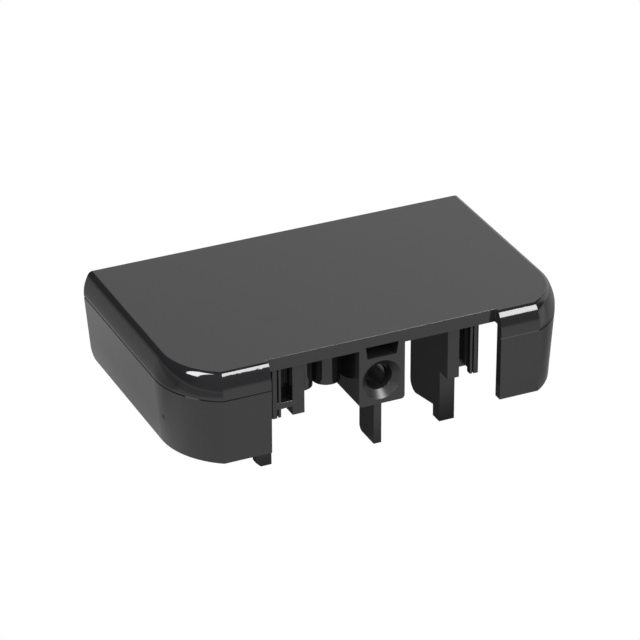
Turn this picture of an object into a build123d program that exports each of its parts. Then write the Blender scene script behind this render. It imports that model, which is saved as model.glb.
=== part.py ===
import os
from build123d import *

# ---------------------------------------------------------------------------
# Profile end cap: one moulded piece.
# Frame: X along the long side, -Y is the notched front, +Y the open wall side,
# +Z is the outer face. The origin is under the middle of the cap, level with
# the lowest prong tips.
# ---------------------------------------------------------------------------

# Overall
cap_width = 107.0
cap_depth = 64.6
skirt_height = 24.1
prong_drop = 9.0
crease_half = 42.65
corner_run = 17.4
cap_height = skirt_height + prong_drop

# Shell
wall = 2.4
plate = 2.6
crown_width = 2.5
crown_height = 6.0
crown_shoulder = 1.4
crown_waist = 0.4
crown_lead = 0.1
side_draft = 1.5
front_draft = 0.2
inner_round = 1.2
parting_drop = 6.6
groove_height = 0.35
groove_depth = 0.25
heel_round = 3.0

# Front notch and the lip that closes the plate there
front_offset = 0.95
notch_half = 31.0
lip_setback = 3.4
lip_height = 3.5
lip_thickness = 2.2

# Screw boss
boss_width = 12.4
boss_length = 13.4
boss_drop = 19.3
boss_round = 0.9
screw_bore = 7.0
screw_head = 10.7
screw_drop = 12.7
relief_top_width = 8.9
relief_bottom_width = 7.9
relief_top_drop = 2.9
relief_bottom_drop = 6.2
relief_depth = 6.0

# Prongs: the guide plate's tip is the lowest, the others end a little above it
prong_lift = 1.1

# Centre prong under the boss
prong_thickness = 2.1
prong_length = 8.4
prong_setback = 2.5
prong_round = 1.6

# Guide channels each side of the boss
guide_setback = 3.1
guide_drop = 18.8
guide_inner = 19.5
guide_inner_thickness = 3.2
guide_outer = 26.8
guide_outer_thickness = 1.2
guide_length = 9.0
guide_web_setback = 4.4
guide_web_thickness = 1.6
guide_web_drop = 18.7
guide_bead = 0.65
guide_bead_gap = 0.4
guide_bead_reach = 1.6
stripe_width = 0.8

# Deep guide plate on the right
blade_length = 21.0
blade_back_drop = 32.4
blade_front_drop = 29.9
blade_step = 4.3
blade_heel_round = 3.0
blade_tip_length = 3.6
blade_tip_thickness = 4.2

# Shallow ledge that closes the left channel
ledge_thickness = 1.7
ledge_drop = 16.4

# Cross prong behind the left end of the notch
cross_reach = 4.2
cross_thickness = 2.0
cross_setback = 4.2
cross_chamfer = 1.3

# Round posts between boss and left guide
post_diameter = 7.2
post_setback = 11.2
post_gap = 0.3
post_drop = 15.5

# Derived planes
half_width = cap_width / 2
front = -cap_depth / 2
corner_start = front + corner_run
back = cap_depth / 2
top = cap_height
skirt_foot = cap_height - skirt_height
under_plate = top - plate
seam = top - parting_drop
seam_low = seam - groove_height
lip_front = front + lip_setback
guide_front = lip_front + guide_setback
overrun = 5.0


def corner_arc(reach, run):
    """Radius of an arc that leaves the side wall smoothly and meets the front at the crease."""
    inward = reach - crease_half
    return (inward**2 + run**2) / (2 * inward)


def plan(reach, ahead, inset, rear):
    """Plan outline at one level: straight sides, round front corners, a crease at the flat front."""
    radius = corner_arc(reach, corner_start - ahead)
    centre_x = reach - radius
    side = reach - inset
    face = ahead + inset
    crease = centre_x + ((radius - inset) ** 2 - (corner_start - face) ** 2) ** 0.5
    with BuildLine() as outline:
        left = Line((-side, rear), (-side, corner_start))
        left_arc = TangentArc((-side, corner_start), (-crease, face), tangent=(0, -1))
        flat = Line(left_arc @ 1, (crease, face))
        right = Line((side, rear), (side, corner_start))
        TangentArc((side, corner_start), (crease, face), tangent=(0, -1))
        Line(left @ 0, right @ 0)
    return outline.edges()




def crown_section(reach):
    """Half section above the seam: flat face, then a crown that falls to the wall."""
    with BuildLine() as section:
        face = Line((0, top), (reach - crown_width, top))
        rim = Spline(
            face @ 1,
            (reach - crown_waist * crown_width, top - crown_shoulder),
            (reach, top - crown_height),
            tangents=[(1, -crown_lead), (0, -1)],
        )
        upper = Line(rim @ 1, (reach, seam))
        base = Line(upper @ 1, (0, seam))
        Line(base @ 1, face @ 0)
    return section.edges()


corner_radius = corner_arc(half_width, corner_run)
corner_x = half_width - corner_radius

# Crowned upper part, from three crowned blocks that share one section
with BuildPart() as across:
    with BuildSketch(Plane.XZ):
        make_face(crown_section(half_width))
        mirror(about=Plane.YZ)
    extrude(amount=cap_depth, both=True)

with BuildPart() as along:
    with BuildSketch(Plane(origin=(0, back, 0), x_dir=(0, -1, 0), z_dir=(-1, 0, 0))):
        make_face(crown_section(cap_depth))
    extrude(amount=cap_width, both=True)

with BuildPart() as corners:
    with BuildSketch(Plane(origin=(corner_x, corner_start, 0), x_dir=(1, 0, 0), z_dir=(0, -1, 0))):
        make_face(crown_section(corner_radius))
    revolve(axis=Axis((corner_x, corner_start, 0), (0, 0, 1)))
    mirror(about=Plane.YZ)
    with BuildSketch(Plane.XY.offset(seam)):
        Rectangle(2 * corner_x, 2 * cap_depth)
        with Locations((0, corner_start)):
            Rectangle(2 * cap_width, 2 * cap_depth, align=(Align.CENTER, Align.MIN))
    extrude(amount=top - seam)

with BuildPart() as crown:
    add(across.part)
    add(along.part, mode=Mode.INTERSECT)
    add(corners.part, mode=Mode.INTERSECT)

# Skirt, drafted from the seam to its foot, with the seam groove above it
with BuildPart() as skirt:
    with BuildSketch(Plane.XY.offset(seam_low)):
        make_face(plan(half_width, front, groove_depth, back))
    extrude(amount=groove_height)
    with BuildSketch(Plane.XY.offset(seam_low)):
        make_face(plan(half_width, front, 0, back))
    with BuildSketch(Plane.XY.offset(skirt_foot)):
        make_face(plan(half_width - side_draft, front + front_draft, 0, back))
    loft(ruled=True)

# Room inside the skirt, open at the back and below
with BuildPart() as room:
    with BuildSketch(Plane.XY.offset(seam_low)):
        make_face(plan(half_width, front, wall, back + overrun))
    extrude(amount=under_plate - seam_low)
    fillet(room.faces().sort_by(Axis.Z)[-1].edges(), inner_round)
    with BuildSketch(Plane.XY.offset(seam_low)):
        make_face(plan(half_width, front, wall, back + overrun))
    with BuildSketch(Plane.XY.offset(skirt_foot)):
        make_face(plan(half_width - side_draft, front + front_draft, wall, back + overrun))
    loft(ruled=True)
    with BuildSketch(Plane.XY.offset(skirt_foot)):
        make_face(plan(half_width - side_draft, front + front_draft, wall, back + overrun))
    extrude(amount=-overrun)


def block(x_low, x_high, y_low, y_high, z_low, z_high, mode=Mode.ADD):
    """Upright rectangular block between six planes."""
    with BuildSketch(Plane.XY.offset(z_low)) as footprint:
        with Locations((x_low, y_low)):
            Rectangle(x_high - x_low, y_high - y_low, align=(Align.MIN, Align.MIN))
    extrude(footprint.sketch, amount=z_high - z_low, mode=mode)


boss_half = boss_width / 2
screw_z = top - screw_drop
blade_front = guide_front + blade_step
prong_front = lip_front + prong_setback
notch_left = front_offset - notch_half
notch_right = front_offset + notch_half

with BuildPart() as end_cap:
    add(crown.part)
    add(skirt.part)
    add(room.part, mode=Mode.SUBTRACT)
    heel_edges = end_cap.edges().filter_by(Axis.X).group_by(Axis.Y)[-1].group_by(Axis.Z)[0]
    fillet(heel_edges, heel_round)

    # Notch through the front skirt, its crown and the front of the plate
    block(
        notch_left,
        notch_right,
        front - overrun,
        lip_front,
        skirt_foot - overrun,
        top + overrun,
        Mode.SUBTRACT,
    )

    # Lip along the cut edge of the plate
    block(notch_left, notch_right, lip_front, lip_front + lip_thickness, top - lip_height, under_plate)

    # Screw boss, with the relief above the hole and the countersunk bore
    with BuildSketch(Plane.XZ.offset(-lip_front)):
        with Locations((front_offset, under_plate)):
            boss_face = Rectangle(boss_width, boss_drop - plate, align=(Align.CENTER, Align.MAX))
        fillet(boss_face.vertices().group_by(Axis.Y)[0], boss_round)
    extrude(amount=-boss_length)
    with BuildSketch(Plane.XZ.offset(-lip_front)):
        with BuildLine():
            Polyline(
                (front_offset - relief_top_width / 2, top - relief_top_drop),
                (front_offset + relief_top_width / 2, top - relief_top_drop),
                (front_offset + relief_bottom_width / 2, top - relief_bottom_drop),
                (front_offset - relief_bottom_width / 2, top - relief_bottom_drop),
                close=True,
            )
        make_face()
    extrude(amount=-relief_depth, mode=Mode.SUBTRACT)
    with BuildSketch(Plane.XZ.offset(-lip_front)):
        with Locations((front_offset, screw_z)):
            Circle(screw_bore / 2)
    extrude(amount=-boss_length, mode=Mode.SUBTRACT)
    with BuildSketch(Plane.YZ.offset(front_offset)):
        with BuildLine():
            Polyline(
                (lip_front, screw_z),
                (lip_front, screw_z + screw_head / 2),
                (lip_front + (screw_head - screw_bore) / 2, screw_z + screw_bore / 2),
                (lip_front + (screw_head - screw_bore) / 2, screw_z),
                close=True,
            )
        make_face()
    revolve(axis=Axis((front_offset, lip_front, screw_z), (0, 1, 0)), mode=Mode.SUBTRACT)

    # Centre prong hanging from the boss
    with BuildSketch(Plane.YZ.offset(front_offset - prong_thickness / 2)):
        with Locations((prong_front, prong_lift)):
            prong_face = Rectangle(
                prong_length,
                top - boss_drop + boss_round - prong_lift,
                align=(Align.MIN, Align.MIN),
            )
        fillet(prong_face.vertices().group_by(Axis.Y)[0].sort_by(Axis.X)[-1], prong_round)
    extrude(amount=prong_thickness)

    # Guide channels: an outer rib, a web behind with thin ribs on it, and an inner plate
    for side in (-1, 1):
        inner_far = guide_inner + guide_inner_thickness
        outer_far = guide_outer + guide_outer_thickness
        bead_far = guide_outer - guide_bead_gap
        web_y = guide_front + guide_web_setback
        web_rear = web_y + guide_web_thickness
        for near, far, start, stop, drop in (
            (guide_inner, inner_far, guide_front, guide_front + guide_length, guide_drop),
            (guide_outer, outer_far, guide_front, web_rear, guide_drop),
            (inner_far, guide_outer, web_y, web_rear, guide_web_drop),
            (bead_far - guide_bead, bead_far, guide_front, guide_front + guide_bead_reach, guide_web_drop),
            (
                inner_far + stripe_width,
                inner_far + 2 * stripe_width,
                web_y - stripe_width,
                web_y,
                guide_web_drop,
            ),
        ):
            ends = sorted((front_offset + side * near, front_offset + side * far))
            block(ends[0], ends[1], start, stop, top - drop, under_plate)

    # Ledge that closes the left channel at its lower end
    ledge_low = front_offset - guide_outer
    ledge_high = front_offset - guide_inner - guide_inner_thickness
    block(ledge_low, ledge_high, guide_front, web_y, top - ledge_drop, top - ledge_drop + ledge_thickness)

    # Deep guide plate on the right, its lower edge rising towards the front
    blade_x = front_offset + guide_inner
    blade_rear = guide_front + blade_length
    tip_rear = blade_front + blade_tip_length
    with BuildSketch(Plane.YZ.offset(blade_x)):
        with BuildLine():
            Polyline(
                (guide_front, under_plate),
                (guide_front, top - guide_drop),
                (blade_front, top - guide_drop),
                (blade_front, 0),
                (tip_rear, 0),
                (tip_rear, top - blade_front_drop),
                (blade_rear, top - blade_back_drop),
                (blade_rear, under_plate),
                close=True,
            )
        blade_face = make_face()
        fillet(blade_face.vertices().sort_by(Axis.X)[-2:].sort_by(Axis.Y)[0], blade_heel_round)
    extrude(amount=guide_inner_thickness)
    block(blade_x, blade_x + blade_tip_thickness, blade_front, tip_rear, 0, top - guide_drop)

    # Cross prong behind the left end of the notch
    cross_y = lip_front + cross_setback
    with BuildSketch(Plane.XZ.offset(-cross_y)):
        with Locations((front_offset - guide_outer - guide_outer_thickness, prong_lift)):
            cross_face = Rectangle(cross_reach, under_plate - prong_lift, align=(Align.MAX, Align.MIN))
        chamfer(cross_face.vertices().group_by(Axis.Y)[0].sort_by(Axis.X)[0], cross_chamfer)
    extrude(amount=-cross_thickness)

    # Round posts between the boss and the left guide
    post_y = lip_front + post_setback
    post_near = front_offset - boss_half - post_gap - post_diameter / 2
    post_far = post_near - post_diameter - post_gap
    with BuildSketch(Plane.XY.offset(top - post_drop)):
        with Locations((post_near, post_y), (post_far, post_y)):
            Circle(post_diameter / 2)
    extrude(amount=post_drop - plate)

end_cap.part.label = "end_cap"
os.makedirs("parts", exist_ok=True)
export_step(end_cap.part, "parts/end_cap.step")
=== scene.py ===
import math
import bpy
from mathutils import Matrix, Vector


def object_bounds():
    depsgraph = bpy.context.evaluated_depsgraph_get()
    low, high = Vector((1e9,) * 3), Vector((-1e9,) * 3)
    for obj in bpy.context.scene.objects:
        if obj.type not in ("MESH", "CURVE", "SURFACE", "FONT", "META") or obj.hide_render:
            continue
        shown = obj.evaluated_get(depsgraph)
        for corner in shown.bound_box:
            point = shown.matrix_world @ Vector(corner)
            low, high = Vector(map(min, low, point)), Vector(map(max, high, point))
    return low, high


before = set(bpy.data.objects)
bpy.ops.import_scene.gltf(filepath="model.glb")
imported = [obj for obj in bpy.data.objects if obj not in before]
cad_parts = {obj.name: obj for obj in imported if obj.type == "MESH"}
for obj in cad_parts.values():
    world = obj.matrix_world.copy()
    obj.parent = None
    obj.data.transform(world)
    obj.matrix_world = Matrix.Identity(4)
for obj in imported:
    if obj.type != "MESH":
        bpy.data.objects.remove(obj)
first_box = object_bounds()

# Sides of the cap's box, in metres like every size and place below but the lens and sensor
LEFT, FRONT, LOW = first_box[0]
RIGHT, BACK, TOP = first_box[1]
WHITE = (1.0, 1.0, 1.0, 1.0)

# ---------------------------------------------------------------- node helpers


def nodes_of(owner):
    """An empty node tree for a material or a world."""
    owner.use_nodes = True
    owner.node_tree.nodes.clear()
    return owner.node_tree


def node(tree, kind, **values):
    """A node with its settings; a name that starts with in_ is the value of an input."""
    made = tree.nodes.new(kind)
    for key, value in values.items():
        if key.startswith("in_"):
            made.inputs[key[3:].replace("_", " ")].default_value = value
        else:
            setattr(made, key, value)
    return made


def feed(tree, made, values):
    """Each value goes to the input of the same number, as a link or a constant; None is skipped."""
    for slot, value in enumerate(values):
        if value is None:
            continue
        if isinstance(value, (int, float, tuple)):
            made.inputs[slot].default_value = value
        else:
            tree.links.new(value, made.inputs[slot])
    return made


def math_node(tree, operation, a, b=None, c=None, clamp=False):
    made = node(tree, "ShaderNodeMath", operation=operation, use_clamp=clamp)
    return feed(tree, made, (a, b, c)).outputs[0]


def vector_node(tree, operation, a, b=None):
    made = node(tree, "ShaderNodeVectorMath", operation=operation)
    return feed(tree, made, (a, b))


def product(tree, first, *others):
    """All the factors multiplied together."""
    for other in others:
        first = math_node(tree, "MULTIPLY", first, other)
    return first


def axes_of(tree, vector):
    """The x, y and z of a vector."""
    return feed(tree, tree.nodes.new("ShaderNodeSeparateXYZ"), (vector,)).outputs


def fade(tree, value, low, high, shape="SMOOTHSTEP"):
    """0 up to low, 1 from high on; the other way round where low is the larger."""
    made = node(
        tree,
        "ShaderNodeMapRange",
        interpolation_type=shape,
        in_From_Min=low,
        in_From_Max=high,
    )
    tree.links.new(value, made.inputs["Value"])
    return made.outputs[0]


def noise(tree, place, scale, detail, roughness):
    made = node(
        tree,
        "ShaderNodeTexNoise",
        in_Scale=scale,
        in_Detail=detail,
        in_Roughness=roughness,
    )
    tree.links.new(place, made.inputs["Vector"])
    return made.outputs[0]


def spot(tree, place, centre, radius, core):
    """1 within the core of a round spot, falling to 0 at its radius; core is a share of it."""
    away = vector_node(tree, "DISTANCE", place, centre).outputs["Value"]
    return fade(tree, away, radius, radius * core)


def blend(tree, share, first, second):
    """The first direction where share is 0, the second where it is 1."""
    pick = node(tree, "ShaderNodeMix", data_type="VECTOR")
    tree.links.new(share, pick.inputs["Factor"])
    tree.links.new(first, next(i for i in pick.inputs if i.identifier == "A_Vector"))
    tree.links.new(second, next(i for i in pick.inputs if i.identifier == "B_Vector"))
    return next(o for o in pick.outputs if o.identifier == "Result_Vector")


# ---------------------------------------------------------------- plastic

BLACK = (0.0046, 0.0045, 0.0050, 1.0)
REFRACTION = 1.5

# Roughness of the polished skin, and what each thing on it adds
POLISH = 0.030
DRIFT_ADDS = 0.04
HAZE_ADDS = 0.03
RUB_ADDS = 0.09
COUNTERSINK_ADDS = 0.28
NICK_ADDS = 0.35

# Specular level, and what the nick takes off it
SPECULAR = 0.5
NICK_DULLS = 0.3

# Marks and the countersink: centre, radius and core
RUB = ((-0.0211, -0.0116, TOP), 0.005, 0.1)
COUNTERSINK = ((0.0010, FRONT + 0.0023, TOP - 0.0127), 0.0062, 0.85)
NICK = ((LEFT + 0.0010, -0.0178, TOP - 0.0160), 0.0011, 0.3)

# Noises: scale, detail and roughness
DRIFT = (38.0, 3.0, 0.5)
HAZE = (420.0, 5.0, 0.6)
FLOW = (55.0, 1.0, 0.4)
GRAIN = (2600.0, 2.0, 0.5)

# Surface form
GRAIN_HEIGHT = 0.02
FLOW_HEIGHT = 0.3
BUMP_STRENGTH = 0.16
BUMP_DISTANCE = 0.0004
EDGE_RADIUS = 0.00022
EDGE_SAMPLES = 6
GROOVE_HEIGHT = TOP - 0.0068
GROOVE_REACH = 0.0009

# Crowned rim: how far it faces up falls off quickly at the shoulder, then slowly down to its foot
RIM_HEIGHT = 0.006
RIM_FOOT = TOP - RIM_HEIGHT - 0.0001
RIM_FOOT_SOFT = 0.0004
RIM_SHOULDER = 0.0006
RIM_BELLY = 0.38
RIM_FALL = 0.45
FACING_UP = (0.005, 0.02)


def rim_normal(tree, place, facing, otherwise):
    """Smooth shading for the crowned rim: how far a point faces up follows from its height alone."""
    height = axes_of(tree, place)[2]
    facing_x, facing_y, facing_z = axes_of(tree, facing)

    drop = math_node(tree, "MAXIMUM", math_node(tree, "SUBTRACT", TOP, height), 0.0)
    slow = math_node(tree, "MULTIPLY_ADD", drop, -RIM_FALL * RIM_BELLY / RIM_HEIGHT, RIM_BELLY)
    quick = math_node(tree, "EXPONENT", product(tree, drop, -1.0 / RIM_SHOULDER))
    up = math_node(tree, "MULTIPLY_ADD", quick, 1.0 - RIM_BELLY, slow, clamp=True)
    out = math_node(tree, "SQRT", math_node(tree, "SUBTRACT", 1.0, product(tree, up, up)))

    level = feed(tree, tree.nodes.new("ShaderNodeCombineXYZ"), (facing_x, facing_y)).outputs[0]
    away = vector_node(tree, "NORMALIZE", level).outputs[0]
    reach = vector_node(tree, "SCALE", away)
    tree.links.new(out, reach.inputs["Scale"])
    lift = feed(tree, tree.nodes.new("ShaderNodeCombineXYZ"), (None, None, up)).outputs[0]
    rim = vector_node(tree, "ADD", reach.outputs[0], lift).outputs[0]

    faces_up = fade(tree, facing_z, *FACING_UP, shape="LINEAR")
    above_foot = fade(tree, height, RIM_FOOT, RIM_FOOT + RIM_FOOT_SOFT, shape="LINEAR")
    outward = vector_node(tree, "DOT_PRODUCT", place, level).outputs["Value"]
    faces_out = math_node(tree, "GREATER_THAN", outward, 0.0)
    return blend(tree, product(tree, faces_up, faces_out, above_foot), otherwise, rim)


def gloss_of(tree, place, nick):
    """Roughness: a polished tool with a slow drift, a fine haze of handling, and the marks."""
    drift = noise(tree, place, *DRIFT)
    haze = noise(tree, place, *HAZE)
    gloss = math_node(tree, "MULTIPLY_ADD", drift, DRIFT_ADDS, POLISH)
    gloss = math_node(tree, "MULTIPLY_ADD", haze, HAZE_ADDS, gloss)
    gloss = math_node(tree, "MULTIPLY_ADD", spot(tree, place, *RUB), RUB_ADDS, gloss)
    sink = spot(tree, place, *COUNTERSINK)
    gloss = math_node(tree, "MULTIPLY_ADD", sink, COUNTERSINK_ADDS, gloss)
    return math_node(tree, "MULTIPLY_ADD", nick, NICK_ADDS, gloss)


def form_of(tree, place, facing):
    """Normal: shallow flow waves and a micro texture over softened edges and the rim."""
    flow = noise(tree, place, *FLOW)
    grain = noise(tree, place, *GRAIN)
    relief = math_node(tree, "MULTIPLY_ADD", flow, FLOW_HEIGHT, product(tree, grain, GRAIN_HEIGHT))
    bump = node(tree, "ShaderNodeBump", in_Strength=BUMP_STRENGTH, in_Distance=BUMP_DISTANCE)
    tree.links.new(relief, bump.inputs["Height"])

    # The parting groove stays crisp
    soft_edge = node(tree, "ShaderNodeBevel", samples=EDGE_SAMPLES, in_Radius=EDGE_RADIUS).outputs[0]
    height = axes_of(tree, place)[2]
    in_groove = math_node(tree, "COMPARE", height, GROOVE_HEIGHT, GROOVE_REACH)
    form = blend(tree, in_groove, soft_edge, facing)
    tree.links.new(rim_normal(tree, place, facing, form), bump.inputs["Normal"])
    return bump.outputs[0]


def black_plastic():
    mat = bpy.data.materials.new("gloss_black_moulding")
    tree = nodes_of(mat)
    out = node(tree, "ShaderNodeOutputMaterial")
    skin = node(tree, "ShaderNodeBsdfPrincipled", in_Base_Color=BLACK, in_IOR=REFRACTION)
    tree.links.new(skin.outputs[0], out.inputs[0])
    point = node(tree, "ShaderNodeNewGeometry").outputs
    nick = spot(tree, point["Position"], *NICK)
    shine = math_node(tree, "MULTIPLY_ADD", nick, -NICK_DULLS, SPECULAR)
    tree.links.new(gloss_of(tree, point["Position"], nick), skin.inputs["Roughness"])
    tree.links.new(shine, skin.inputs["Specular IOR Level"])
    tree.links.new(form_of(tree, point["Position"], point["Normal"]), skin.inputs["Normal"])
    return mat


plastic = black_plastic()
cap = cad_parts["end_cap"]
for slot in cap.material_slots:
    slot.material = plastic

# ---------------------------------------------------------------- studio


def seen_white(tree, other, out):
    """The camera sees plain white; every other ray sees the shader given."""
    glow = node(tree, "ShaderNodeEmission", in_Color=WHITE, in_Strength=1.0)
    path = tree.nodes.new("ShaderNodeLightPath")
    mix = tree.nodes.new("ShaderNodeMixShader")
    feed(tree, mix, (path.outputs["Is Camera Ray"], other, glow.outputs[0]))
    tree.links.new(mix.outputs[0], out.inputs[0])


# Table: how bright it is in reflections
# Each pair of places runs from where a change starts to where it is full
FLOOR_SIZE = 6.0
FLOOR_GAP = 0.0002
OPEN_TABLE = 0.92
SHADE_LOSS = 0.82
SHADE_X = (RIGHT + 0.0085, RIGHT - 0.0135)
SHADE_Y = (BACK + 0.0137, BACK - 0.0143)
BESIDE_LOSS = 0.47
BESIDE_BACK_GAIN = 0.11
BESIDE_X = (LEFT + 0.0035, LEFT - 0.0065)
BESIDE_Y = (-0.020, 0.010)
BESIDE_BACK_Y = (0.030, 0.070)
LEFT_LOSS = 0.25
LEFT_X = (LEFT - 0.0165, LEFT - 0.0715)
FAR_LEFT_LOSS = 0.45
FAR_LEFT_X = (-0.220, -0.350)
RIGHT_LOSS = 0.71
RIGHT_FAR_GAIN = 0.24
RIGHT_X = (RIGHT - 0.0185, RIGHT + 0.0115)
RIGHT_Y = (-0.060, -0.020)
RIGHT_FAR_X = (0.080, 0.160)


def table_glow(tree, x, y):
    """Open table, the soft shade under the cap, and the dimmer parts left and right of it."""
    shade = product(
        tree,
        fade(tree, x, -SHADE_X[0], -SHADE_X[1]),
        fade(tree, x, *SHADE_X),
        fade(tree, y, -SHADE_Y[0], -SHADE_Y[1]),
        fade(tree, y, *SHADE_Y),
    )
    bright = math_node(tree, "MULTIPLY_ADD", shade, -SHADE_LOSS, OPEN_TABLE)
    beside = product(tree, fade(tree, x, *BESIDE_X), fade(tree, y, *BESIDE_Y))
    beside_back = fade(tree, y, *BESIDE_BACK_Y)
    beside_loss = math_node(tree, "MULTIPLY_ADD", beside_back, -BESIDE_BACK_GAIN, BESIDE_LOSS)
    right = product(tree, fade(tree, x, *RIGHT_X), fade(tree, y, *RIGHT_Y))
    right_far = fade(tree, x, *RIGHT_FAR_X)
    right_loss = math_node(tree, "MULTIPLY_ADD", right_far, -RIGHT_FAR_GAIN, RIGHT_LOSS)
    dimmer = (
        (beside, beside_loss),
        (fade(tree, x, *LEFT_X), LEFT_LOSS),
        (fade(tree, x, *FAR_LEFT_X), FAR_LEFT_LOSS),
        (right, right_loss),
    )
    for share, loss in dimmer:
        kept = math_node(tree, "SUBTRACT", 1.0, product(tree, share, loss))
        bright = product(tree, bright, kept)
    return bright


def white_table():
    """A table that looks white, and that reflects in the cap with the tones of table_glow."""
    mat = bpy.data.materials.new("studio_white")
    tree = nodes_of(mat)
    out = node(tree, "ShaderNodeOutputMaterial")
    x, y, _ = axes_of(tree, node(tree, "ShaderNodeNewGeometry").outputs["Position"])
    table = node(tree, "ShaderNodeEmission", in_Color=WHITE)
    tree.links.new(table_glow(tree, x, y), table.inputs["Strength"])
    seen_white(tree, table.outputs[0], out)
    bpy.ops.mesh.primitive_plane_add(size=FLOOR_SIZE, location=(0.0, 0.0, LOW - FLOOR_GAP))
    made = bpy.context.object
    made.name = "studio_floor"
    made.data.materials.append(mat)
    return made


# Room: how bright each direction is, with the same kind of pairs
ROOM_DARK = 0.09
BACKDROP_LEVEL = 1.20
BACKDROP_Z = (0.62, 0.52)
BACKDROP_Y = (-0.10, 0.20)
BACKDROP_EDGE_X = (0.05, 0.22)
BACKDROP_EDGE_SHARE = 0.65
BACKDROP_SLOPE_X = (0.20, 0.60)
BACKDROP_SLOPE_SHARE = 0.35
HORIZON_Z = (0.03, -0.03)
FRONT_LEVEL = 0.20
FRONT_Y = (-0.10, -0.60)


def studio_room():
    """White behind on the right and below the horizon, a faint glow in front, dark elsewhere."""
    world = bpy.data.worlds.new("studio")
    bpy.context.scene.world = world
    tree = nodes_of(world)
    out = tree.nodes.new("ShaderNodeOutputWorld")
    coords = tree.nodes.new("ShaderNodeTexCoord")
    x, y, z = axes_of(tree, coords.outputs["Generated"])
    edge = product(tree, fade(tree, x, *BACKDROP_EDGE_X), BACKDROP_EDGE_SHARE)
    slope = fade(tree, x, *BACKDROP_SLOPE_X)
    across = math_node(tree, "MULTIPLY_ADD", slope, BACKDROP_SLOPE_SHARE, edge)
    backdrop = product(tree, fade(tree, z, *BACKDROP_Z), across, fade(tree, y, *BACKDROP_Y))
    white_part = math_node(tree, "MAXIMUM", backdrop, fade(tree, z, *HORIZON_Z))
    front = math_node(tree, "MULTIPLY_ADD", fade(tree, y, *FRONT_Y), FRONT_LEVEL, ROOM_DARK)
    level = math_node(tree, "MULTIPLY_ADD", white_part, BACKDROP_LEVEL, front)
    room = node(tree, "ShaderNodeBackground")
    tree.links.new(level, room.inputs["Strength"])
    seen_white(tree, room.outputs[0], out)


# Softboxes: direction from the point they face, distance, width, height and glow
AIM = Vector((0.0, 0.0, 0.025))
FRONT_STRIP = ((0.355, -0.56, 0.75), 1.4, 0.46, 1.87, 17.5)
LEFT_STRIP = ((-0.73, -0.17, 0.66), 1.4, 0.48, 1.20, 20.0)
CAMERA_FILL = ((-0.37, -0.81, 0.46), 0.8, 0.5, 0.5, 11.0)


def softbox(name, direction, distance, wide, tall, glow):
    """A lit sheet facing the cap; glow is how bright the sheet looks."""
    data = bpy.data.lights.new(name, "AREA")
    data.shape = "RECTANGLE"
    data.size = wide
    data.size_y = tall
    data.energy = glow * math.pi * wide * tall
    lamp = bpy.data.objects.new(name, data)
    bpy.context.scene.collection.objects.link(lamp)
    lamp.location = AIM + Vector(direction).normalized() * distance
    lamp.rotation_euler = (AIM - lamp.location).to_track_quat("-Z", "Y").to_euler()
    return lamp


floor = white_table()
studio_room()

# The strips reflect in the rim as bright bands; the fill isn't reflected, it adds diffuse light only
softbox("front_strip", *FRONT_STRIP)
softbox("left_strip", *LEFT_STRIP)
fill = softbox("camera_fill", *CAMERA_FILL)
fill.visible_glossy = False

# ---------------------------------------------------------------- camera

# Lens and sensor in millimetres, the turn in degrees
LENS = 193.82
SENSOR = 36.0
NEAR = 0.01
FAR = 50.0
CAMERA_AT = (-0.31774, -0.69461, 0.43292)
CAMERA_TURN = (61.7893, 0.2452, -24.5362)


def photo_camera():
    data = bpy.data.cameras.new("camera")
    data.lens = LENS
    data.sensor_width = SENSOR
    data.clip_start = NEAR
    data.clip_end = FAR
    made = bpy.data.objects.new("camera", data)
    bpy.context.scene.collection.objects.link(made)
    made.location = CAMERA_AT
    made.rotation_euler = [math.radians(angle) for angle in CAMERA_TURN]
    return made


scene = bpy.context.scene
scene.camera = photo_camera()
scene.view_settings.view_transform = "Standard"
